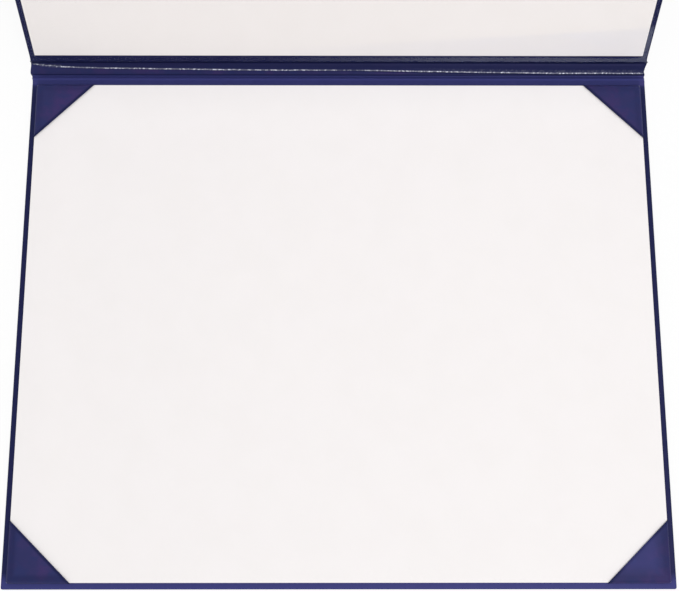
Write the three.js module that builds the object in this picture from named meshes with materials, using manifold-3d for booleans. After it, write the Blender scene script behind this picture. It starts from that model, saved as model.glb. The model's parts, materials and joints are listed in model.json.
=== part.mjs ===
// Diploma cover: two leatherette panels joined by a hinged spine, in millimetres.
// X runs along the hinge, Y away from the free edge of the back panel, Z up.
// The origin is the middle of the back panel's underside. The back panel lies flat, and the
// front panel stands open beyond the hinge.

import * as THREE from 'three';
import { mergeVertices } from 'three/addons/utils/BufferGeometryUtils.js';
import Module from 'manifold-3d';

const wasm = await Module();
wasm.setup();

// Driving dimensions.
const liningWidth = 279.4;
const liningDepth = 223.0;
const borderWidth = 2.8;
const hingeBorder = 4.2;
const leatherette = 0.35;
const boardThickness = 2.0;
const cardThickness = 0.5;
const filmThickness = 0.2;
const glueLine = 0.05;

// Wrapped panel: turned-in edges, their mitres and the rounding that the wrap gives.
const turnInWidth = 14;
const stripLap = 15;
const wrapEdgeRadius = 0.7;
const cornerEase = 0.2;
const mitreCut = 0.15;
const rampClearance = 1;
const rampWidth = 6;

// Corner pockets: a triangle's legs, its flaps and hem, and the room for a sheet of paper.
const pocketAlongHinge = 26.5;
const pocketAlongSide = 25.7;
const pocketFlap = 9;
const pocketHem = 6;
const pocketSlot = 0.2;
const pocketCornerRadius = 0.8;
const pocketEdgeRadius = 0.3;

// Clear film, this far in from the front panel's outline.
const filmInset = 0.7;

// Hinge.
const spineWidth = 8.2;
const hingeGap = 0.75;
const lowerFold = THREE.MathUtils.degToRad(36);
const upperFold = THREE.MathUtils.degToRad(24);

// Sizes that follow. A wrap is one layer of leatherette and its glue. In plan a panel's corners
// are a little rounder than its edges are in section.
const panelCornerRadius = wrapEdgeRadius + cornerEase;
const panelWidth = liningWidth + 2 * borderWidth;
const panelDepth = hingeBorder + liningDepth + borderWidth;
const wrap = leatherette + glueLine;
const boardTop = wrap + boardThickness;
const coverTop = boardTop + wrap;
const spineThickness = leatherette + wrap;
const roundSegments = 3;
const past = 5;

// Turns a closed geometry into a solid that can be joined and cut.
function solid(geometry) {
  const bare = geometry.clone();
  bare.deleteAttribute('normal');
  bare.deleteAttribute('uv');
  const merged = mergeVertices(bare, 1e-4);
  return new wasm.Manifold(new wasm.Mesh({
    numProp: 3,
    vertProperties: new Float32Array(merged.attributes.position.array),
    triVerts: new Uint32Array(merged.index.array),
  }));
}

// Gives a solid back as a geometry.
function geometryOf(body) {
  const mesh = body.getMesh();
  const geometry = new THREE.BufferGeometry();
  geometry.setAttribute('position', new THREE.BufferAttribute(mesh.vertProperties, 3));
  geometry.setIndex(new THREE.BufferAttribute(mesh.triVerts, 1));
  geometry.computeVertexNormals();
  return geometry;
}

// A plain block between two corners.
function block([x0, y0, z0], [x1, y1, z1]) {
  const geometry = new THREE.BoxGeometry(x1 - x0, y1 - y0, z1 - z0);
  geometry.translate((x0 + x1) / 2, (y0 + y1) / 2, (z0 + z1) / 2);
  return solid(geometry);
}

// An upright prism over a plan outline.
function prism(outline, z0, z1) {
  const shape = new THREE.Shape(outline.map(([x, y]) => new THREE.Vector2(x, y)));
  const geometry = new THREE.ExtrudeGeometry(shape, { depth: z1 - z0, bevelEnabled: false });
  geometry.translate(0, 0, z0);
  return solid(geometry);
}

// A panel's own frame has its hinge edge at y = 0, its free edge at y = panelDepth and its
// underside at z = 0. A rectangle in it lies this far inside the panel's or the lining's outline.
function inset(rectangle, by) {
  return { x0: rectangle.x0 + by, x1: rectangle.x1 - by, y0: rectangle.y0 + by, y1: rectangle.y1 - by };
}
const panelOutline = { x0: -panelWidth / 2, x1: panelWidth / 2, y0: 0, y1: panelDepth };
const liningOutline = {
  x0: -liningWidth / 2, x1: liningWidth / 2, y0: hingeBorder, y1: hingeBorder + liningDepth,
};

// A slab with square edges over a rectangle.
function slab({ x0, x1, y0, y1 }, z0, z1) {
  return block([x0, y0, z0], [x1, y1, z1]);
}

// A slab with rounded corners, whose upper and lower edges are rounded as a wrapped edge is.
function roundedSlab(rectangle, cornerRadius, edgeRadius, z0, z1) {
  const { x0, x1, y0, y1 } = inset(rectangle, edgeRadius);
  const radius = cornerRadius - edgeRadius;
  const shape = new THREE.Shape();
  shape.absarc(x1 - radius, y0 + radius, radius, -Math.PI / 2, 0);
  shape.absarc(x1 - radius, y1 - radius, radius, 0, Math.PI / 2);
  shape.absarc(x0 + radius, y1 - radius, radius, Math.PI / 2, Math.PI);
  shape.absarc(x0 + radius, y0 + radius, radius, Math.PI, 1.5 * Math.PI);
  shape.closePath();
  const geometry = new THREE.ExtrudeGeometry(shape, {
    depth: z1 - z0 - 2 * edgeRadius,
    bevelThickness: edgeRadius,
    bevelSize: edgeRadius,
    bevelSegments: roundSegments,
    curveSegments: roundSegments,
  });
  geometry.translate(0, 0, z0 + edgeRadius);
  return solid(geometry);
}

// A slab that widens as it rises: its sides slope out by a width between z0 and z1.
function widenedSlab(rectangle, slopeWidth, z0, z1) {
  const { x0, x1, y0, y1 } = rectangle;
  const shape = new THREE.Shape([
    new THREE.Vector2(x0, y0),
    new THREE.Vector2(x1, y0),
    new THREE.Vector2(x1, y1),
    new THREE.Vector2(x0, y1),
  ]);
  const geometry = new THREE.ExtrudeGeometry(shape, {
    depth: z1 - z0,
    bevelThickness: z1 - z0,
    bevelSize: slopeWidth,
    bevelSegments: 1,
  });
  geometry.translate(0, 0, z1);
  return solid(geometry).intersect(slab(inset(panelOutline, -past), z0, z1));
}

// The leatherette round one board: outer skin, four walls and turned-in edges, as one shell.
function wrappedShell() {
  const outside = roundedSlab(panelOutline, panelCornerRadius, wrapEdgeRadius, 0, coverTop);
  const boardRoom = roundedSlab(
    inset(panelOutline, leatherette),
    panelCornerRadius - leatherette,
    wrapEdgeRadius - leatherette,
    leatherette,
    coverTop - leatherette,
  );
  const { x0, x1, y1 } = inset(panelOutline, turnInWidth);
  const window = block([x0, stripLap, boardTop], [x1, y1, coverTop + past]);
  return outside.subtract(boardRoom).subtract(window);
}

// The room at the hinge edge that the inner hinge strip takes between the side turn-ins.
function stripRoom(clearance) {
  const { x0, x1 } = inset(panelOutline, turnInWidth + clearance);
  return block([x0, -past, leatherette + clearance], [x1, stripLap + past, coverTop + past]);
}

// The fine cuts where the turned-in edges meet at 45 degrees in the two free corners.
function mitreCuts() {
  const start = wrapEdgeRadius;
  const end = turnInWidth + past;
  const half = mitreCut / Math.SQRT2;
  const cuts = [-1, 1].map((side) => prism([
    [side * (panelWidth / 2 - start), panelDepth - start - half],
    [side * (panelWidth / 2 - start - half), panelDepth - start],
    [side * (panelWidth / 2 - end - half), panelDepth - end],
    [side * (panelWidth / 2 - end), panelDepth - end - half],
  ], boardTop, coverTop + past));
  return cuts[0].add(cuts[1]);
}

const cover = () => geometryOf(wrappedShell().subtract(stripRoom(0)).subtract(mitreCuts()));
const panelStrip = () => geometryOf(wrappedShell().intersect(stripRoom(glueLine)));
const board = () => geometryOf(
  roundedSlab(inset(panelOutline, wrap), panelCornerRadius - wrap, wrapEdgeRadius - wrap, wrap, boardTop),
);

// A lining card's rim lies on the turned-in edges, and its field dips between them to the board.
// On the back panel the pockets' flaps lie under the rim too.
const frontCardHeight = coverTop + glueLine;
const backCardHeight = frontCardHeight + wrap;
function liningCard(rimHeight) {
  const rimWidth = Math.max(turnInWidth - borderWidth, stripLap - hingeBorder) + rampClearance;
  const field = inset(liningOutline, rimWidth + rampWidth);
  const fieldHeight = boardTop + glueLine;
  const top = rimHeight + cardThickness;
  const rim = slab(liningOutline, rimHeight, top);
  const dip = widenedSlab(field, rampWidth, fieldHeight, rimHeight);
  const hollow = widenedSlab(field, rampWidth, fieldHeight + cardThickness, top);
  return geometryOf(rim.add(dip).subtract(hollow));
}

// The corner region outside a pocket's slanting edge, or outside a line parallel to it. The
// corner is the free one at +X of the panel's own frame.
function cornerRegion(inward, z0, z1) {
  const { x1, y1 } = liningOutline;
  const alongX = pocketAlongHinge - inward;
  const alongY = (alongX * pocketAlongSide) / pocketAlongHinge;
  return prism([
    [x1 - alongX - (wrap * alongX) / alongY, y1 + wrap],
    [x1 + wrap, y1 + wrap],
    [x1 + wrap, y1 - alongY - (wrap * alongY) / alongX],
  ], z0, z1);
}

// A corner pocket, folded from one piece: a triangle over the card, two narrow walls round the
// card's edges, two flaps behind the card, and a hem turned under the slanting edge.
function cornerPocket() {
  const flapBottom = backCardHeight - wrap;
  const flapTop = backCardHeight - glueLine;
  const hemBottom = backCardHeight + cardThickness + pocketSlot;
  const hemTop = hemBottom + leatherette;
  const top = hemTop + leatherette;
  const wallInside = inset(liningOutline, -glueLine);
  const wallOutside = inset(liningOutline, -wrap);
  const outside = roundedSlab(wallOutside, pocketCornerRadius, pocketEdgeRadius, flapBottom, top);
  const behindCard = slab(inset(liningOutline, pocketFlap), flapBottom - past, hemTop);
  const hem = cornerRegion(0, hemBottom, hemTop)
    .subtract(cornerRegion(pocketHem, hemBottom - past, hemTop + past))
    .intersect(slab(wallInside, hemBottom, hemTop));
  return outside
    .intersect(cornerRegion(0, flapBottom - past, top + past))
    .subtract(slab(wallInside, flapTop, hemTop))
    .subtract(behindCard)
    .add(hem);
}

// The clear film lies over the front card and steps down to the border round it.
function clearFilm() {
  const rimHeight = frontCardHeight;
  const fieldHeight = frontCardHeight + cardThickness + glueLine;
  const cardRoom = inset(liningOutline, -glueLine);
  const rim = slab(inset(panelOutline, filmInset), rimHeight, rimHeight + filmThickness);
  const field = slab(inset(cardRoom, -filmThickness), rimHeight, fieldHeight + filmThickness);
  return geometryOf(rim.add(field).subtract(slab(cardRoom, rimHeight - past, fieldHeight)));
}

// The spine's own frame has the lower hinge line at the origin and the upper one at
// y = spineWidth, both in the middle of its thickness.
const spineBottom = -spineThickness / 2;
const spineTop = spineThickness / 2;
function spineCover() {
  const { x0, x1 } = panelOutline;
  const skin = block([x0, 0, spineBottom], [x1, spineWidth, spineBottom + leatherette]);
  const leftEnd = block([x0, 0, spineBottom], [x0 + turnInWidth, spineWidth, spineTop]);
  const rightEnd = block([x1 - turnInWidth, 0, spineBottom], [x1, spineWidth, spineTop]);
  return geometryOf(skin.add(leftEnd).add(rightEnd));
}
function spineStrip() {
  const { x0, x1 } = inset(panelOutline, turnInWidth + glueLine);
  return geometryOf(block([x0, 0, spineTop - leatherette], [x1, spineWidth, spineTop]));
}

// Finishes.
const navyLeatherette = { color: 0x35366b, roughness: 0.5, metalness: 0 };
const greyboard = { color: 0x9a948a, roughness: 0.95, metalness: 0 };
const whiteCard = { color: 0xf3f0ee, roughness: 0.8, metalness: 0 };
const clearPlastic = { color: 0xf4f6fa, roughness: 0.08, metalness: 0, transparent: true, opacity: 0.25 };

function piece(name, geometry, finish) {
  const mesh = new THREE.Mesh(geometry, new THREE.MeshStandardMaterial(finish));
  mesh.name = name;
  return mesh;
}

// The back panel's own frame is turned half round, so that its hinge edge is at +Y.
const diplomaCover = new THREE.Group();
const backPanel = new THREE.Group();
backPanel.position.y = panelDepth / 2;
backPanel.rotation.z = Math.PI;
diplomaCover.add(backPanel);
backPanel.add(
  piece('back_cover', cover(), navyLeatherette),
  piece('back_board', board(), greyboard),
  piece('back_hinge_strip', panelStrip(), navyLeatherette),
  piece('back_lining_card', liningCard(backCardHeight), whiteCard),
);

// Mirrors a geometry left to right, or end to end on the lining, with its faces kept outwards.
function mirrored(geometry, alongX, alongY) {
  const copy = geometry.clone();
  copy.scale(alongX ? -1 : 1, alongY ? -1 : 1, 1);
  copy.translate(0, alongY ? liningOutline.y0 + liningOutline.y1 : 0, 0);
  if (alongX !== alongY) {
    copy.index.array.reverse();
  }
  copy.computeVertexNormals();
  return copy;
}

// The pocket is made for one corner and mirrored into the other three.
const freeLeftPocket = geometryOf(cornerPocket());
for (const [end, atHinge] of [['free', false], ['hinge', true]]) {
  for (const [side, atRight] of [['left', false], ['right', true]]) {
    const pocket = mirrored(freeLeftPocket, atRight, atHinge);
    backPanel.add(piece(`pocket_${end}_${side}`, pocket, navyLeatherette));
  }
}

// The spine turns about the lower hinge line, and the front panel about the upper one.
const spine = new THREE.Group();
spine.position.set(0, panelDepth / 2 + hingeGap, spineThickness / 2);
spine.rotation.x = lowerFold;
diplomaCover.add(spine);
spine.add(
  piece('spine_cover', spineCover(), navyLeatherette),
  piece('spine_hinge_strip', spineStrip(), navyLeatherette),
);

const frontHinge = new THREE.Group();
frontHinge.position.y = spineWidth;
frontHinge.rotation.x = upperFold;
spine.add(frontHinge);
const frontPanel = new THREE.Group();
frontPanel.position.set(0, hingeGap, spineBottom);
frontHinge.add(frontPanel);
frontPanel.add(
  piece('front_cover', cover(), navyLeatherette),
  piece('front_board', board(), greyboard),
  piece('front_hinge_strip', panelStrip(), navyLeatherette),
  piece('front_lining_card', liningCard(frontCardHeight), whiteCard),
  piece('front_film', clearFilm(), clearPlastic),
);

export default diplomaCover;
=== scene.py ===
import json
import math

import bmesh
import bpy
from mathutils import Matrix, Vector, noise


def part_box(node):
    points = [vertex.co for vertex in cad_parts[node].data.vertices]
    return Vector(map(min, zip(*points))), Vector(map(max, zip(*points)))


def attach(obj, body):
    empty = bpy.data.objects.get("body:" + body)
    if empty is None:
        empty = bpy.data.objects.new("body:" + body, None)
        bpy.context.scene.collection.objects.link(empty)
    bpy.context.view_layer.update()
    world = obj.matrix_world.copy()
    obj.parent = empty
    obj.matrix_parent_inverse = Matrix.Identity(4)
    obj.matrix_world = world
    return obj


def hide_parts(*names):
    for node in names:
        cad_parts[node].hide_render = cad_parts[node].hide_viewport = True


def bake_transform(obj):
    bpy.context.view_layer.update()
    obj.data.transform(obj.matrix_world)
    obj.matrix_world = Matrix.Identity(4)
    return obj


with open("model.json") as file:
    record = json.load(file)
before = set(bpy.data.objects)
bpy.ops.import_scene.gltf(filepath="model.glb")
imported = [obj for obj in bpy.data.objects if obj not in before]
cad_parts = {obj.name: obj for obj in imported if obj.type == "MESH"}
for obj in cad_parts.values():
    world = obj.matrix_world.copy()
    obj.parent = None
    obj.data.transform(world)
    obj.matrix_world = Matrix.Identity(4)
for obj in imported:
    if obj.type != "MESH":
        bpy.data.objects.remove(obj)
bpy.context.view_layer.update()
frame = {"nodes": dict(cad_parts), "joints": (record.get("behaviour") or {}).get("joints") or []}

# Greyboard cores
# One flat board stiffens each panel. It is grey recycled pulp board, cut with square corners
# softened by pressing, and the leatherette is glued round it. Almost all of it is hidden.
mm = 0.001
board_grey = (0.33, 0.30, 0.26, 1)
board_fleck = (0.20, 0.18, 0.16, 1)


class Wire:
    """One output of a finish's nodes. Maths on wires adds the Math nodes for it."""

    def __init__(self, finish, socket):
        self.finish = finish
        self.socket = socket

    def __add__(self, other):
        return self.finish.maths("ADD", self, other)

    def __radd__(self, other):
        return self.finish.maths("ADD", other, self)

    def __sub__(self, other):
        return self.finish.maths("SUBTRACT", self, other)

    def __rsub__(self, other):
        return self.finish.maths("SUBTRACT", other, self)

    def __mul__(self, other):
        return self.finish.maths("MULTIPLY", self, other)

    def __rmul__(self, other):
        return self.finish.maths("MULTIPLY", other, self)

    def __pow__(self, other):
        return self.finish.maths("POWER", self, other)

    def between(self, low, high):
        """Rises smoothly from 0 at one value to 1 at the other."""
        settings = {"interpolation_type": "SMOOTHSTEP"}
        inputs = {"Value": self, "From Min": low, "From Max": high}
        return self.finish.node("ShaderNodeMapRange", settings, inputs)


class Finish:
    """The nodes of a material or a world, added one by one."""

    def __init__(self, owner):
        self.owner = owner
        self.owner.use_nodes = True
        self.nodes = owner.node_tree.nodes
        self.links = owner.node_tree.links
        self.nodes.clear()

    def node(self, kind, settings=None, inputs=None, output=0):
        """Adds a node: its settings come first, then the values or wires of its sockets."""
        added = self.nodes.new(kind)
        for setting, value in (settings or {}).items():
            setattr(added, setting, value)
        for socket, value in (inputs or {}).items():
            if isinstance(value, Wire):
                self.links.new(value.socket, added.inputs[socket])
            else:
                added.inputs[socket].default_value = value
        return Wire(self, added.outputs[output]) if len(added.outputs) else added

    def maths(self, operation, first, second):
        return self.node("ShaderNodeMath", {"operation": operation}, {0: first, 1: second})

    def place(self, along_x=1, along_y=1, along_z=1):
        """Object coordinates, with each axis multiplied."""
        inputs = {
            "Vector": self.node("ShaderNodeTexCoord", output="Object"),
            "Scale": (along_x, along_y, along_z),
        }
        return self.node("ShaderNodeMapping", {"vector_type": "POINT"}, inputs)

    def speckle(self, scale, detail=2.0, roughness=0.5, vector=None):
        """Noise with this many features to the metre."""
        inputs = {
            "Vector": vector or self.place(),
            "Scale": scale,
            "Detail": detail,
            "Roughness": roughness,
        }
        return self.node("ShaderNodeTexNoise", {}, inputs)

    def blended(self, share, first, second):
        """A colour between two, by a share from 0 to 1."""
        return self.node("ShaderNodeMix", {"data_type": "RGBA"}, {0: share, 6: first, 7: second}, output=2)

    def attribute(self, name):
        return self.node("ShaderNodeAttribute", {"attribute_name": name}, output="Fac")

    def bump(self, height, distance, strength=1.0, normal=None):
        inputs = {"Height": height, "Distance": distance, "Strength": strength}
        if normal:
            inputs["Normal"] = normal
        return self.node("ShaderNodeBump", {}, inputs)

    def end(self, surface, kind="ShaderNodeOutputMaterial"):
        self.node(kind, inputs={"Surface": surface})
        return self.owner


def greyboard_finish():
    """Grey pulp board with long fibres and dark flecks."""
    finish = Finish(bpy.data.materials.new("greyboard"))
    fibres = finish.speckle(900, 5, 0.6, finish.place(1, 0.35, 1))
    flecks = finish.speckle(2600, 2).between(0.55, 0.7)
    inputs = {
        "Base Color": finish.blended(flecks, board_grey, board_fleck),
        "Roughness": 0.88 + 0.1 * fibres,
        "Normal": finish.bump(fibres, 0.06 * mm),
    }
    return finish.end(finish.node("ShaderNodeBsdfPrincipled", {}, inputs))


greyboard = greyboard_finish()
for board in ("back_board", "front_board"):
    frame["nodes"][board].data.materials.clear()
    frame["nodes"][board].data.materials.append(greyboard)

# Leatherette on the panels and the spine
# Navy vinyl-coated cloth. One sheet covers the outside and is turned in over both boards, and a
# strip inside is glued down one board's hinge edge, across the spine and up the other's. The
# two layers are modelled together, split across the spine into a back part and a front part.
skin = 0.3 * mm
back_low, back_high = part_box("back_cover")
panel_width = back_high.x - back_low.x
panel_depth = back_high.y - back_low.y
panel_thickness = back_high.z - back_low.z
spine_thickness = 0.75 * mm
turned_in = 14 * mm
strip_lap = 15 * mm
corner_radius = 0.9 * mm
edge_radius = 0.7 * mm
spine_edge_radius = 0.3 * mm
valley_radius = 0.5 * mm
strip_slant = math.radians(41)
fold_reach = 0.35 * mm
hinge_row = 0.14 * mm
hinge_column = 2 * mm
plain_row = 10 * mm
bend_cuts = 6
border_cuts = [1.1 * mm, 1.7 * mm, 2.2 * mm, 2.7 * mm, 3.4 * mm, 7 * mm, turned_in]
lap_cuts = [1.6 * mm, 2.6 * mm, 3.4 * mm, 3.9 * mm, 4.6 * mm, 8 * mm, strip_lap]
outer_puff = 0.06 * mm
border_wave = 0.05 * mm
drawn_in = 0.3 * mm
outside_tone = 0.6
sharp_angle = math.radians(50)

hinges = {joint["name"]: joint for joint in frame["joints"]}
lower_axis = Vector(hinges["lower_hinge"]["pos_m"])
upper_axis = Vector(hinges["upper_hinge"]["pos_m"])
lower_fold = -math.radians(hinges["lower_hinge"]["range_deg"][0])
upper_fold = -math.radians(hinges["upper_hinge"]["range_deg"][0])
spine_width = (upper_axis - lower_axis).length
hinge_gap = lower_axis.y - back_high.y
back_share = 5.4 * mm
front_share = spine_width - back_share

# A panel's own frame has its hinge edge at y = 0, its free edge at y = panel_depth and its
# underside at z = 0. These matrices put it in its place on the cover.
place_back = Matrix.Translation((0, back_high.y, 0)) @ Matrix.Rotation(math.pi, 4, "Z")
place_front = (
    Matrix.Translation(upper_axis)
    @ Matrix.Rotation(lower_fold + upper_fold, 4, "X")
    @ Matrix.Translation((0, hinge_gap, -spine_thickness / 2))
)


def smooth(value, low, high):
    """Rises smoothly from 0 at one value to 1 at the other."""
    share = min(max((value - low) / (high - low), 0), 1)
    return share * share * (3 - 2 * share)


def swell(value, middle, width):
    """A bell of height 1."""
    return math.exp(-(((value - middle) / width) ** 2))


def ripple(x, y, seed):
    """Smooth noise between about -1 and 1. Its features are about one unit long."""
    return noise.noise(Vector((x, y, seed)))


def rounded(distance, radius):
    """How far a rounded edge drops at a distance from the outline."""
    if distance >= radius:
        return 0
    return radius - math.sqrt(max(radius**2 - (radius - distance) ** 2, 0))


def on_disc(across, along, radius):
    """Maps a corner square of this side on to a quarter of a disc."""
    u, v = across / radius, along / radius
    return across * math.sqrt(1 - v * v / 2), along * math.sqrt(1 - u * u / 2)


def edge_positions(radius):
    """Distances from the outline at which a rounded edge is cut."""
    turns = [math.pi / 2 * step / bend_cuts for step in range(1, bend_cuts + 1)]
    return [radius * (1 - math.cos(turn)) for turn in turns]


def cut_at(bm, point, normal, clear_outer=False):
    """Cuts a mesh by one plane, and can take away what lies beyond it."""
    bmesh.ops.bisect_plane(
        bm, geom=bm.verts[:] + bm.edges[:] + bm.faces[:], dist=1e-7,
        plane_co=point, plane_no=normal, clear_outer=clear_outer,
    )


def cut_across(bm, axis, positions):
    """Cuts a mesh by planes square to one axis."""
    for position in positions:
        normal = Vector((axis == 0, axis == 1, axis == 2))
        cut_at(bm, normal * position, normal)


def even_positions(low, high, step):
    """Places between two others, about a step apart."""
    count = max(1, round((high - low) / step))
    return [low + (high - low) * index / count for index in range(1, count)]


def block(low, high):
    """A plain block between two opposite corners."""
    bm = bmesh.new()
    bmesh.ops.create_cube(bm, size=1)
    middle = (Vector(low) + Vector(high)) / 2
    size = Vector(high) - Vector(low)
    matrix = Matrix.Translation(middle) @ Matrix.Diagonal(size).to_4x4()
    bmesh.ops.transform(bm, matrix=matrix, verts=bm.verts)
    return bm


# The strip bridges the hollow at each hinge: it bends down over the board's edge, slants, and
# bends up on to the spine. Its path is given as (length, turn) for each stretch, and is walked
# from where it leaves the board's top, towards the spine and upwards.
def walked(along, stretches):
    """Place and heading at a length along the path, which goes straight on after its end."""
    place, heading = Vector((min(along, 0), 0)), 0
    for length, turn in [*stretches, (math.inf, 0)]:
        if along <= 0:
            break
        part = min(along, length)
        turned = turn * part / length
        chord = part * math.sin(turned / 2) / (turned / 2) if turned else part
        middle = heading + turned / 2
        place += chord * Vector((math.cos(middle), math.sin(middle)))
        heading += turned
        along -= part
    return place, heading


def bridging(fold):
    """The strip's stretches at a hinge, which end flat on the spine."""
    down = (edge_radius * strip_slant, -strip_slant)
    up = (valley_radius * (strip_slant + fold), strip_slant + fold)
    end, heading = walked(down[0] + up[0], [down, up])
    height = Vector((-math.sin(fold), math.cos(fold))).dot(end - path_axis) - spine_thickness / 2
    return [down, (height / math.sin(strip_slant + fold), 0), up]


path_axis = Vector((edge_radius + hinge_gap, spine_thickness / 2 - panel_thickness))

# The strip lies slack over the spine. A crease runs along it, wandering between the two panels
# and fading near its middle. Its crest has painted highlights and a clear coat, and so does a
# little of the grain above it on the right. The spine's ends stand out unevenly.
crease_home = 3.9 * mm
crease_height = 0.27 * mm
crease_front = 0.3 * mm
crease_behind = 0.45 * mm
crease_hollow = 0.16 * mm
slack = 0.25 * mm
wrinkle_height = 0.05 * mm
slack_wave = 0.06 * mm
left_reach = 0.6 * mm
left_widening = 0.75 * mm
right_reach = 0.25 * mm
right_notch = 0.3 * mm
right_flare = 0.7 * mm


def crease_line(x):
    """Distance of the crease from the lower hinge line."""
    right_fall = 1.35 * mm * smooth(x, -10 * mm, 110 * mm)
    left_rise = 0.75 * mm * smooth(-x, 20 * mm, 110 * mm)
    end_rise = 2.2 * mm * math.exp(-(x + panel_width / 2) / (12 * mm))
    wander = 0.12 * mm * ripple(x / (22 * mm), 0, 3.1) + 0.06 * mm * ripple(x / (7 * mm), 0, 5.7)
    return crease_home - right_fall + left_rise + end_rise + wander


def crease_strength(x):
    """How strong the crease is at a place along the hinge. It varies, and is weak near the middle."""
    uneven = 0.85 + 0.4 * ripple(x / (11 * mm), 1, 8.3) + 0.25 * ripple(x / (2.6 * mm), 2, 1.9)
    return uneven * (1 - 0.75 * swell(x, 4 * mm, 9 * mm))


def on_strip(up_spine):
    """Fades the strip's relief out where it lands on the spine."""
    return smooth(up_spine, 1 * mm, 2 * mm) * smooth(spine_width - up_spine, 1 * mm, 2 * mm)


def spine_relief(x, up_spine):
    """Height of the slack strip over the flat spine, at a distance from the lower hinge line."""
    past_crest = up_spine - crease_line(x)
    ridge = swell(past_crest, 0, crease_behind if past_crest > 0 else crease_front)
    hollow = crease_hollow * smooth(x, -20 * mm, 40 * mm) * swell(past_crest, -0.8 * mm, 0.4 * mm)
    roll = slack * math.sin(math.pi * min(max(up_spine / spine_width, 0), 1))
    wrinkles = wrinkle_height * ripple(x / (4 * mm), up_spine / (1.6 * mm), 4.4)
    unevenness = slack_wave * ripple(x / (17 * mm), up_spine / (5 * mm), 9.2)
    relief = roll + crease_height * crease_strength(x) * ridge - hollow + wrinkles + unevenness
    return on_strip(up_spine) * relief


def crest_glint_and_coat_share(x, up_spine):
    """How strongly the strip gets painted highlights and a clear coat along its crease, from 0 to 1."""
    past_crest = up_spine - crease_line(x)
    glint_strength = 1.4 + 0.5 * smooth(x, 20 * mm, 60 * mm)
    crest = glint_strength * crease_strength(x) * swell(past_crest, 0.12 * mm, 0.2 * mm)
    grain = 0.07 * smooth(x, 20 * mm, 80 * mm) * swell(past_crest, 1.1 * mm, 0.5 * mm)
    return min(max(on_strip(up_spine) * (crest + grain), 0), 1)


def end_reach(x, up_spine):
    """How far the spine's end stands out past the panels at the left or the right."""
    if x < 0:
        widened = left_reach + left_widening * (1 - smooth(up_spine, 2.3 * mm, 7 * mm))
        return widened * smooth(up_spine, -0.2 * mm, 2.2 * mm)
    rounded_out = smooth(up_spine, 0.4 * mm, 1.6 * mm) + swell(up_spine, 1.8 * mm, 0.9 * mm)
    notched = right_notch * swell(up_spine, 3.3 * mm, 0.7 * mm)
    return right_reach * rounded_out - notched + right_flare * smooth(up_spine, 4.5 * mm, 7.6 * mm)


def back_painted_shade_and_light(distance, y, from_axis):
    """Painted shade and painted light on the back panel's inside. The shade is at the rounded rim, along
    the groove on the spine and at the lining card's edges; the light is by the hinge and the free edge.
    """
    rim = 1 - smooth(distance, 0.1 * mm, 0.5 * mm)
    under_card_shadow = smooth(distance, 2.3 * mm, 2.9 * mm) + smooth(y, 3.4 * mm, 4 * mm)
    back_painted_shade = max(rim, smooth(from_axis, 1.2 * mm, 1.7 * mm), min(under_card_shadow, 1))
    hinge_painted_light = smooth(from_axis, -6 * mm, -4 * mm) * (1 - smooth(from_axis, 1.1 * mm, 1.6 * mm))
    hinge_painted_light *= 1.2 + swell(from_axis, 0.4 * mm, 0.8 * mm)
    return back_painted_shade, hinge_painted_light + 2 * smooth(y, panel_depth - 6 * mm, panel_depth - 2.8 * mm)


def below_crease(x, up_spine):
    """How far the spine's painted shade is lightened below the crease, on the left."""
    below = smooth(crease_line(x) - up_spine, 0, 0.5 * mm) * smooth(up_spine, 1.8 * mm, 2.3 * mm)
    return 0.7 * below * (1 - smooth(x, 10 * mm, 90 * mm))


def flat_layers(flat_end, stretches):
    """Both layers of one wrap laid flat, cut finely, open over the board and at the spine."""
    half = panel_width / 2
    bm = block((-half, flat_end, 0), (half, panel_depth, panel_thickness))
    side_cuts = edge_positions(edge_radius) + border_cuts
    columns = [sign * (half - cut) for cut in side_cuts for sign in (-1, 1)]
    columns += even_positions(-half + turned_in, half - turned_in, hinge_column)
    cut_across(bm, 0, columns)
    rows = [panel_depth - cut for cut in side_cuts] + [edge_radius] + lap_cuts
    rows += even_positions(strip_lap, panel_depth - turned_in, plain_row)
    start = edge_radius
    for length, turn in stretches:
        rows += even_positions(start - length, start, length / bend_cuts) + [start - length]
        start -= length
    rows += even_positions(flat_end, start, hinge_row)
    cut_across(bm, 1, rows)

    def in_window(face):
        middle = face.calc_center_median()
        in_depth = strip_lap < middle.y < panel_depth - turned_in
        return face.normal.z > 0.5 and abs(middle.x) < half - turned_in and in_depth

    opened = [face for face in bm.faces if in_window(face) or face.normal.y < -0.5]
    bmesh.ops.delete(bm, geom=opened, context="FACES")
    return bm


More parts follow.
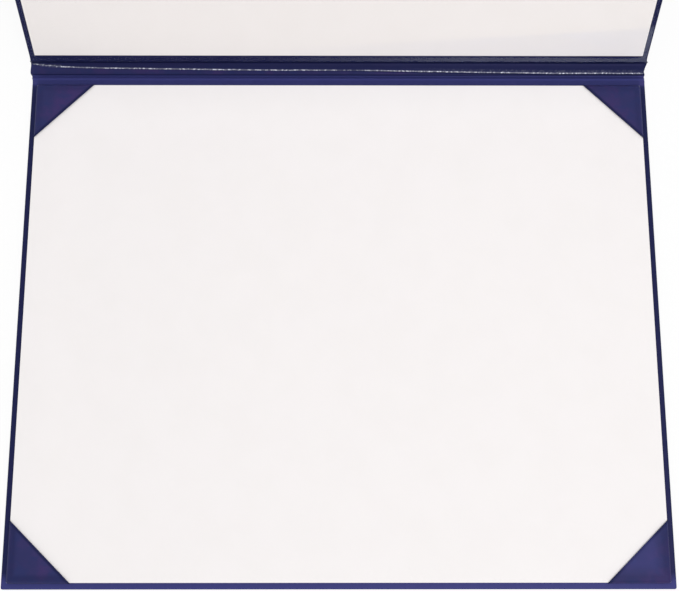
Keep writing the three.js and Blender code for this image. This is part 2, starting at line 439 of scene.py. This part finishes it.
def wrapped_panel(name, fold, spine_share, is_back):
    """The leatherette round one board, with its share of the spine."""
    half = panel_width / 2
    stretches = bridging(fold)
    bridge = sum(length for length, turn in stretches)
    up_the_spine = Vector((math.cos(fold), math.sin(fold)))
    landing = (walked(bridge, stretches)[0] - path_axis).dot(up_the_spine)
    # Both layers start flat: the inner one has its path's length along -y from y = edge_radius.
    flat_end = edge_radius - bridge - (spine_share - landing)
    bm = flat_layers(flat_end, stretches)
    tone_and_painted_shade = bm.verts.layers.float.new("tone_and_painted_shade")
    crest_glint_and_coat = bm.verts.layers.float.new("crest_glint_and_coat")
    painted_light = bm.verts.layers.float.new("painted_light")
    pivot = Vector((0, -hinge_gap, spine_thickness / 2))
    outer_scale = (strip_lap + hinge_gap + spine_share) / (strip_lap - flat_end)
    for vertex in bm.verts:
        x, y, z = vertex.co
        is_inner = z > panel_thickness / 2
        is_bridge = is_inner and y < edge_radius
        if not is_inner and y < strip_lap:
            y = strip_lap - (strip_lap - y) * outer_scale
        distance = min(half - abs(x), panel_depth - y)
        across, along = abs(x) - (half - corner_radius), y - (panel_depth - corner_radius)
        if across > 0 and along > 0:
            across, along = on_disc(across, along, corner_radius)
            x = math.copysign(half - corner_radius + across, x)
            y = panel_depth - corner_radius + along
            distance = corner_radius - math.hypot(across, along)
        side = half - abs(x)
        world_x = -x if is_back else x
        drop = rounded(max(distance, 0), spine_edge_radius if y < 0 else edge_radius)
        if is_bridge:
            place, heading = walked(edge_radius - y, stretches)
            from_axis = (place - path_axis).dot(up_the_spine)
            up_spine = from_axis if is_back else spine_width - from_axis
            fade = smooth(side, 0.3 * mm, 1.6 * mm)
            lift = fade * spine_relief(world_x, up_spine) - drop
            place += lift * Vector((-math.sin(heading), math.cos(heading)))
            moved = Vector((x, edge_radius - place.x, panel_thickness + place.y))
            # Painted highlight and clear coat along the crease.
            vertex[crest_glint_and_coat] = fade * crest_glint_and_coat_share(world_x, up_spine)
        elif is_inner:
            from_axis = -y - hinge_gap
            border = smooth(y, edge_radius, 2 * mm) * smooth(side, edge_radius, 3 * mm)
            unevenness = border_wave * border * ripple(world_x / (14 * mm), y / (9 * mm), 6.5)
            moved = Vector((x, y, z - drop + unevenness))
        else:
            from_axis = -y - hinge_gap
            inner = smooth(distance, 1 * mm, 12 * mm)
            unevenness = 1 + ripple(x / (60 * mm), y / (45 * mm), 2.2 if is_back else 7.1)
            moved = Vector((x, y, z + drop + outer_puff * inner * unevenness))
            turn = -fold * smooth(from_axis, -fold_reach, fold_reach)
            moved = pivot + Matrix.Rotation(turn, 3, "X") @ (moved - pivot)
        # The spine's ends stand out, and the wrap is drawn in beside them.
        up_spine = from_axis if is_back else spine_width - from_axis
        outwards = smooth(from_axis, -0.2 * mm, 0.5 * mm) * end_reach(world_x, up_spine)
        outwards -= drawn_in * swell(from_axis, -1.4 * mm, 0.8 * mm)
        moved.x += math.copysign(outwards * smooth(abs(x), half - 4 * mm, half), x)
        # The outside has one plain tone. Inside, the front panel and most of the spine get painted shade,
        # and the back panel gets painted shade at its edges and in the groove and painted light by the
        # hinge and the free edge.
        if not is_inner:
            vertex[tone_and_painted_shade] = outside_tone
        elif is_back:
            vertex[tone_and_painted_shade], vertex[painted_light] = back_painted_shade_and_light(distance, y, from_axis)
        else:
            vertex[tone_and_painted_shade] = 1
        # Less painted shade on the spine below the crease, on the left.
        if is_bridge and 0 < up_spine < spine_width:
            vertex[tone_and_painted_shade] *= 1 - below_crease(world_x, up_spine)
        vertex.co = moved

    bmesh.ops.transform(bm, matrix=place_back if is_back else place_front, verts=bm.verts)
    bmesh.ops.solidify(bm, geom=bm.faces[:], thickness=skin)
    return finished_piece(name, bm)


def finished_piece(name, bm):
    """Makes a mesh object, smooth but for its sharp edges."""
    for face in bm.faces:
        face.smooth = True
    for edge in bm.edges:
        edge.smooth = edge.calc_face_angle(0) < sharp_angle
    mesh = bpy.data.meshes.new(name)
    bm.to_mesh(mesh)
    bm.free()
    piece = bpy.data.objects.new(name, mesh)
    bpy.context.scene.collection.objects.link(piece)
    return piece


navy = (0.025, 0.027, 0.096, 1)
navy_violet = (0.041, 0.028, 0.108, 1)
navy_blue = (0.019, 0.028, 0.104, 1)
navy_tone_and_painted_shade = (0.0062, 0.0096, 0.046, 1)
navy_painted_light = (0.046, 0.050, 0.190, 1)
painted_glint_white = (0.80, 0.82, 0.95, 1)
sheen_tint = (0.52, 0.47, 1.0, 1)


def leatherette_finish():
    """Mottled navy with a fine grain. It carries painted shade inside on the spine and the front panel,
    painted light in places, and painted highlights along the crease.
    """
    finish = Finish(bpy.data.materials.new("leatherette"))
    clouds = finish.speckle(75, 3, 0.55).between(0.4, 0.66)
    blots = finish.speckle(210, 3, 0.5, finish.place(1, 1.5, 1.5)).between(0.45, 0.68)
    colour = finish.blended(clouds, navy, navy_violet)
    colour = finish.blended(0.6 * blots, colour, navy_blue)
    # Painted shade: darker navy inside on the spine, the front panel, the back panel's edges and groove,
    # and the pockets' folds and edges; the outside gets a plain share of the same navy as its tone.
    colour = finish.blended(0.92 * finish.attribute("tone_and_painted_shade"), colour, navy_tone_and_painted_shade)
    # Painted light: brighter navy by the back panel's hinge and free edge, and in one pocket's middle.
    colour = finish.blended(0.4 * finish.attribute("painted_light"), colour, navy_painted_light)
    sparkle = finish.speckle(1150, 2, 0.6).between(0.49, 0.62)
    # Painted highlight: near-white dots along the crease's crest.
    colour = finish.blended(finish.attribute("crest_glint_and_coat") * (0.2 + 0.8 * sparkle), colour, painted_glint_white)
    cells = {"Vector": finish.place(), "Scale": 1900, "Smoothness": 0.6}
    grain = finish.node("ShaderNodeTexVoronoi", {"feature": "SMOOTH_F1"}, cells)
    pores = finish.speckle(3800, 3, 0.6)
    unevenness = finish.speckle(240, 2, 0.5)
    soft = finish.bump(unevenness, 0.05 * mm)
    inputs = {
        "Base Color": colour,
        "Roughness": 0.34 + 0.12 * pores + 0.1 * unevenness,
        "Specular IOR Level": 0.2,
        "Specular Tint": sheen_tint,
        "Coat Weight": finish.attribute("crest_glint_and_coat") * (0.1 + 0.5 * sparkle),
        "Coat Roughness": 0.14,
        "Normal": finish.bump(grain * 0.7 + pores * 0.5, 0.018 * mm, 0.9, soft),
    }
    return finish.end(finish.node("ShaderNodeBsdfPrincipled", {}, inputs))


leatherette = leatherette_finish()

back_leatherette = wrapped_panel("back_leatherette", lower_fold, back_share, True)
back_leatherette.data.materials.append(leatherette)
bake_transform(back_leatherette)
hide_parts("back_cover", "back_hinge_strip", "spine_cover")

front_leatherette = wrapped_panel("front_leatherette", upper_fold, front_share, False)
front_leatherette.data.materials.append(leatherette)
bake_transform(front_leatherette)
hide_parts("front_cover", "front_hinge_strip", "spine_hinge_strip")

# Lining cards
# A sheet of smooth white card is glued inside each panel, over the turned-in edges. Where the
# turned-in edges end, it dips softly on to the board.
lining_low, lining_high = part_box("back_lining_card")
card_thickness = 0.5 * mm
border_width = lining_low.y - back_low.y
hinge_border = back_high.y - lining_high.y
pocket_layer = 0.4 * mm
card_step = 5 * mm
card_wave = 0.05 * mm
card_white = (0.885, 0.855, 0.853, 1)
card_shade = (0.868, 0.838, 0.832, 1)


def lining_card(name, rim_top, matrix):
    """One card, whose rim's upper face is at this height over the panel's underside."""
    half = (lining_high.x - lining_low.x) / 2
    near, far = hinge_border, panel_depth - border_width
    bm = block((-half, near, rim_top - card_thickness), (half, far, rim_top))
    cut_across(bm, 0, even_positions(-half, half, card_step))
    cut_across(bm, 1, even_positions(near, far, card_step))
    card_dip = rim_top - card_thickness - lining_low.z
    for vertex in bm.verts:
        x, y, z = vertex.co
        inward = min(half - abs(x), y - near, far - y)
        dip = card_dip * smooth(inward, 11 * mm, 24 * mm)
        unevenness = ripple(x / (70 * mm), y / (55 * mm), rim_top * 900)
        vertex.co.z += card_wave * smooth(inward, 2 * mm, 25 * mm) * unevenness - dip
    bmesh.ops.transform(bm, matrix=matrix, verts=bm.verts)
    return finished_piece(name, bm)


def card_finish():
    """Smooth white card, very slightly mottled."""
    finish = Finish(bpy.data.materials.new("lining_card"))
    mottle = finish.speckle(60, 2, 0.5).between(0.35, 0.7)
    fibres = finish.speckle(1500, 4, 0.6)
    inputs = {
        "Base Color": finish.blended(0.5 * mottle + 0.15 * fibres, card_white, card_shade),
        "Roughness": 0.62 + 0.12 * fibres,
        "Specular IOR Level": 0.3,
        "Normal": finish.bump(fibres, 0.012 * mm),
    }
    return finish.end(finish.node("ShaderNodeBsdfPrincipled", {}, inputs))


card = card_finish()
back_lining = lining_card("back_lining", lining_high.z, place_back)
back_lining.data.materials.append(card)
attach(back_lining, "back_panel")
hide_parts("back_lining_card")

front_lining = lining_card("front_lining", lining_high.z - pocket_layer, place_front)
front_lining.data.materials.append(card)
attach(front_lining, "front_panel")
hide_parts("front_lining_card")

# Corner pockets
# Four triangles of the same leatherette hold a sheet by its corners. Each is folded from one
# piece: two narrow walls and flaps go round the lining card's edges and are glued behind it,
# and a hem is turned under along the slanting edge.
pocket_low, pocket_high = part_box("pocket_free_right")
pocket_x = pocket_high.x - pocket_low.x
pocket_y = pocket_high.y - pocket_low.y
pocket_flap = 8.5 * mm
flap_mitre = 2 * mm
mitre_gap = 0.3 * mm
pocket_hem = 6 * mm
hem_room = 0.8 * mm
fold_radius = 0.35 * mm
fold_steps = 5
pocket_edge = 1.5 * mm
pocket_corner = 1.3 * mm
pocket_puff = 0.16 * mm
pocket_wave = 0.07 * mm
pocket_step = 1.3 * mm
fold_cuts = [0.5 * mm, 1 * mm]
free_edge_band_shade = 0.55
hinge_edge_band_shade = 0.3
painted_light_middle = 0.8
touching = 1e-6


def slanted_hem(bm):
    """Cuts the slanting edge and turns the hem under it."""
    slant_out = Vector((pocket_y, pocket_x, 0)).normalized()
    fold_line = Vector((pocket_x, 0, 0)) - slant_out * fold_radius
    for inward in fold_cuts:
        cut_at(bm, fold_line - slant_out * inward, slant_out)
    cut_at(bm, fold_line, slant_out, clear_outer=True)

    def on_fold(vertex):
        past_line = (vertex.co - fold_line).dot(slant_out)
        return vertex.co.z > pocket_high.z - touching and abs(past_line) < touching

    def on_arc(step):
        angle = math.pi * step / fold_steps
        return fold_radius * (slant_out * math.sin(angle) + Vector((0, 0, math.cos(angle))))

    rim = [edge for edge in bm.edges if edge.is_boundary and all(on_fold(vertex) for vertex in edge.verts)]
    moves = [on_arc(step + 1) - on_arc(step) for step in range(fold_steps)]
    for move in [*moves, -slant_out * pocket_hem]:
        made = bmesh.ops.extrude_edge_only(bm, edges=rim)["geom"]
        fresh = [item for item in made if isinstance(item, bmesh.types.BMVert)]
        edges = [item for item in made if isinstance(item, bmesh.types.BMEdge)]
        rim = [edge for edge in edges if all(vertex in fresh for vertex in edge.verts)]
        bmesh.ops.translate(bm, vec=move, verts=fresh)
    hem_height = pocket_high.z - 2 * fold_radius
    for normal in (Vector((1, 0, 0)), Vector((0, 1, 0))):
        hem = [
            face for face in bm.faces
            if all(abs(vertex.co.z - hem_height) < touching for vertex in face.verts)
        ]
        geometry = hem + list({edge for face in hem for edge in face.edges})
        geometry += list({vertex for face in hem for vertex in face.verts})
        bmesh.ops.bisect_plane(
            bm, geom=geometry, dist=1e-7, plane_co=normal * hem_room, plane_no=normal, clear_inner=True,
        )
    return fold_line, slant_out


def folded_pocket(name, at_right, at_free_edge):
    """One pocket, made in a frame whose origin is the pocket's outer corner, and put in place."""
    bm = block((0, 0, pocket_low.z), (pocket_x, pocket_y, pocket_high.z))
    opened = [face for face in bm.faces if face.normal.dot(Vector((1, 1, -1))) > 0.5]
    bmesh.ops.delete(bm, geom=opened, context="FACES")
    edge_cuts = edge_positions(pocket_edge)
    cut_across(bm, 0, edge_cuts + even_positions(pocket_edge, pocket_x, pocket_step))
    cut_across(bm, 1, edge_cuts + even_positions(pocket_edge, pocket_y, pocket_step))

    # Flaps behind the card, mitred towards the corner.
    def on_foot(vertex):
        return vertex.co.z < pocket_low.z + touching and max(vertex.co.x, vertex.co.y) > flap_mitre

    feet = [edge for edge in bm.edges if all(on_foot(vertex) for vertex in edge.verts)]
    for vertex in bmesh.ops.extrude_edge_only(bm, edges=feet)["geom"]:
        if not isinstance(vertex, bmesh.types.BMVert):
            continue
        if vertex.co.x < touching:
            vertex.co.x = min(pocket_flap, vertex.co.y - mitre_gap)
        else:
            vertex.co.y = min(pocket_flap, vertex.co.x - mitre_gap)
    fold_line, slant_out = slanted_hem(bm)

    # Painted shade lies along the fold and in a soft band inside its outer edges. The pocket at the right
    # of the free edge has a painted light middle.
    tone_and_painted_shade = bm.verts.layers.float.new("tone_and_painted_shade")
    painted_light = bm.verts.layers.float.new("painted_light")
    seed = 3 * at_right + 5 * at_free_edge + 0.5
    for vertex in bm.verts:
        x, y, z = vertex.co
        outward = min(x, y)
        if x < pocket_corner and y < pocket_corner:
            across, along = on_disc(pocket_corner - x, pocket_corner - y, pocket_corner)
            outward = pocket_corner - math.hypot(across, along)
            x, y = pocket_corner - across, pocket_corner - along
        inward = -(vertex.co - fold_line).dot(slant_out)
        # Painted shade: a soft dark band inside the outer edges and a dark line along the fold.
        dip = (free_edge_band_shade if at_free_edge else hinge_edge_band_shade) * swell(outward, 2.2 * mm, 1.3 * mm)
        vertex[tone_and_painted_shade] = max(1 - smooth(inward, 0.4 * mm, 1 * mm), dip)
        vertex[painted_light] = painted_light_middle * at_right * at_free_edge * smooth(outward, 4 * mm, 8 * mm)
        if z > pocket_high.z - fold_radius:
            puff = smooth(outward, 1 * mm, 6 * mm) * smooth(inward, 0, 5 * mm)
            uneven = smooth(outward, 0.4 * mm, 3 * mm) * smooth(inward, 0, 2 * mm)
            z += pocket_puff * puff + pocket_wave * uneven * ripple(x / (6 * mm), y / (6 * mm), seed)
            z -= rounded(max(outward, 0), pocket_edge)
        vertex.co = (x, y, z)
    bmesh.ops.solidify(bm, geom=bm.faces[:], thickness=skin)
    low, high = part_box(name)
    corner = Vector((high.x if at_right else low.x, low.y if at_free_edge else high.y, 0))
    turned = Matrix.Diagonal((-1 if at_right else 1, 1 if at_free_edge else -1, 1, 1))
    bmesh.ops.transform(bm, matrix=Matrix.Translation(corner) @ turned, verts=bm.verts)
    if at_right == at_free_edge:
        bmesh.ops.reverse_faces(bm, faces=bm.faces)
    return finished_piece(f"{name}_leather", bm)


for end, at_free_edge in (("free", True), ("hinge", False)):
    for side, at_right in (("left", False), ("right", True)):
        node = f"pocket_{end}_{side}"
        pocket = folded_pocket(node, at_right, at_free_edge)
        pocket.data.materials.append(leatherette)
        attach(pocket, "back_panel")
        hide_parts(node)

# Clear film
# A sheet of clear plastic lies over the front panel's lining, and is fixed to the leatherette
# border round it. It is never quite flat, and it has gone hazy near the hinge at the right.
film_low, film_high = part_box("front_film")
film_inset = (panel_width - (film_high.x - film_low.x)) / 2
film_thickness = 0.2 * mm
glue_line = 0.05 * mm
film_rim = panel_thickness + glue_line
film_rise = card_thickness + glue_line
film_wave = 0.12 * mm
film_step = 4 * mm
film_clear = (1, 0.996, 0.991, 1)
film_gloss = (0.74, 0.8, 1, 1)
film_cuts = [0.4 * mm, 0.9 * mm, 1.3 * mm, 1.7 * mm, 2.1 * mm, 2.6 * mm, 3.2 * mm, 5 * mm]


def clear_film():
    """A thin sheet that steps up over the card's edges and lies in shallow waves."""
    half = panel_width / 2 - film_inset
    near, far = film_inset, panel_depth - film_inset
    bm = block((-half, near, film_rim), (half, far, film_rim + film_thickness))
    columns = [sign * (half - cut) for cut in film_cuts for sign in (-1, 1)]
    cut_across(bm, 0, columns + even_positions(-half, half, film_step))
    rows = [cut + hinge_border - border_width for cut in film_cuts] + [far - cut for cut in film_cuts]
    cut_across(bm, 1, rows + even_positions(near, far, film_step))
    margin = border_width - film_inset
    for vertex in bm.verts:
        x, y, z = vertex.co
        over_card = min(half - abs(x) - margin, y - hinge_border, far - y - margin)
        waves = 1 + ripple(x / (46 * mm), y / (24 * mm), 11.3)
        waves += 0.5 * ripple(x / (17 * mm), y / (21 * mm), 14.1)
        free = smooth(over_card, 0, 14 * mm)
        vertex.co.z += film_rise * smooth(over_card, -1.3 * mm, 0) + film_wave * free * max(waves, 0)
    bmesh.ops.transform(bm, matrix=place_front, verts=bm.verts)
    return finished_piece("front_clear_film", bm)


def film_finish():
    """Clear, with a faint gloss and a haze low down at the right."""
    finish = Finish(bpy.data.materials.new("clear_film"))
    facing = finish.node("ShaderNodeLayerWeight", {}, {"Blend": 0.5}, output="Facing")
    across = finish.node("ShaderNodeSeparateXYZ", {}, {"Vector": finish.place()}, output="X")
    height = finish.node("ShaderNodeSeparateXYZ", {}, {"Vector": finish.place()}, output="Z")
    smears = finish.speckle(40, 3, 0.6, finish.place(1, 2.5, 2.5)).between(0.35, 0.7)
    hazed = (height - 0.06 * across).between(17 * mm, 14.5 * mm)
    haze = across.between(-70 * mm, 110 * mm) * hazed * (0.7 + 0.3 * smears)
    sheen = 0.003 + 0.05 * haze + 0.4 * facing**5
    clear = finish.node("ShaderNodeBsdfTransparent", {}, {"Color": film_clear})
    gloss = finish.node("ShaderNodeBsdfAnisotropic", {}, {"Color": film_gloss, "Roughness": 0.1})
    return finish.end(finish.node("ShaderNodeMixShader", {}, {0: sheen, 1: clear, 2: gloss}))


film = clear_film()
film.data.materials.append(film_finish())
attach(film, "front_panel")
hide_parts("front_film")

# Stage, light and camera
# The cover lies on a plain white table in soft light from all round, with one lamp overhead, a
# little to the right, as in a picture for a shop.
table_white = (0.93, 0.93, 0.93, 1)
pure_white = (1, 1, 1, 1)
table_side = 6
table_drop = 0.2 * mm
table_glow = 0.9
room_level = 0.74
softbox_width = 0.36
softbox_depth = 0.3
softbox_power = 5.6
softbox_place = (0.33, -0.3, 1.25)


def seen_as_white(finish):
    """1 for what the camera sees itself, in a reflection or through something clear."""
    rays = [
        finish.node("ShaderNodeLightPath", output=ray)
        for ray in ("Is Camera Ray", "Is Glossy Ray", "Is Transmission Ray")
    ]
    return finish.maths("MAXIMUM", finish.maths("MAXIMUM", rays[0], rays[1]), rays[2])


bpy.ops.mesh.primitive_plane_add(size=table_side, location=(0, 0, -table_drop))
table = bpy.context.object
table.name = "table"
table_finish = Finish(bpy.data.materials.new("table"))
matt = table_finish.node("ShaderNodeBsdfDiffuse", {}, {"Color": table_white})
glow = table_finish.node("ShaderNodeEmission", {}, {"Color": pure_white, "Strength": 1})
glow_share = table_glow * seen_as_white(table_finish)
surface = table_finish.node("ShaderNodeMixShader", {}, {0: glow_share, 1: matt, 2: glow})
table.data.materials.append(table_finish.end(surface))

room_finish = Finish(bpy.data.worlds.new("room"))
level = room_level + (1 - room_level) * seen_as_white(room_finish)
walls = room_finish.node("ShaderNodeBackground", {}, {"Color": pure_white, "Strength": level})
bpy.context.scene.world = room_finish.end(walls, "ShaderNodeOutputWorld")

lamp_data = bpy.data.lights.new("softbox", "AREA")
lamp_data.shape = "RECTANGLE"
lamp_data.size = softbox_width
lamp_data.size_y = softbox_depth
lamp_data.energy = softbox_power
lamp = bpy.data.objects.new("softbox", lamp_data)
lamp.location = softbox_place
lamp.rotation_euler = (-lamp.location).to_track_quat("-Z", "Y").to_euler()
bpy.context.scene.collection.objects.link(lamp)

# The focal length is in pixels of a picture this wide, and the sensor's width in millimetres.
picture_width = 679
focal_length = 1049.8
sensor_width = 36
camera_place = (-1.65 * mm, -84.49 * mm, 460.51 * mm)
camera_turn = (11.834, -0.23, -0.024)
camera_data = bpy.data.cameras.new("camera")
camera_data.sensor_width = sensor_width
camera_data.lens = focal_length * sensor_width / picture_width
camera_data.clip_start = 0.01
camera = bpy.data.objects.new("camera", camera_data)
camera.location = camera_place
camera.rotation_euler = [math.radians(angle) for angle in camera_turn]
bpy.context.scene.collection.objects.link(camera)
bpy.context.scene.camera = camera
bpy.context.scene.view_settings.view_transform = "Standard"
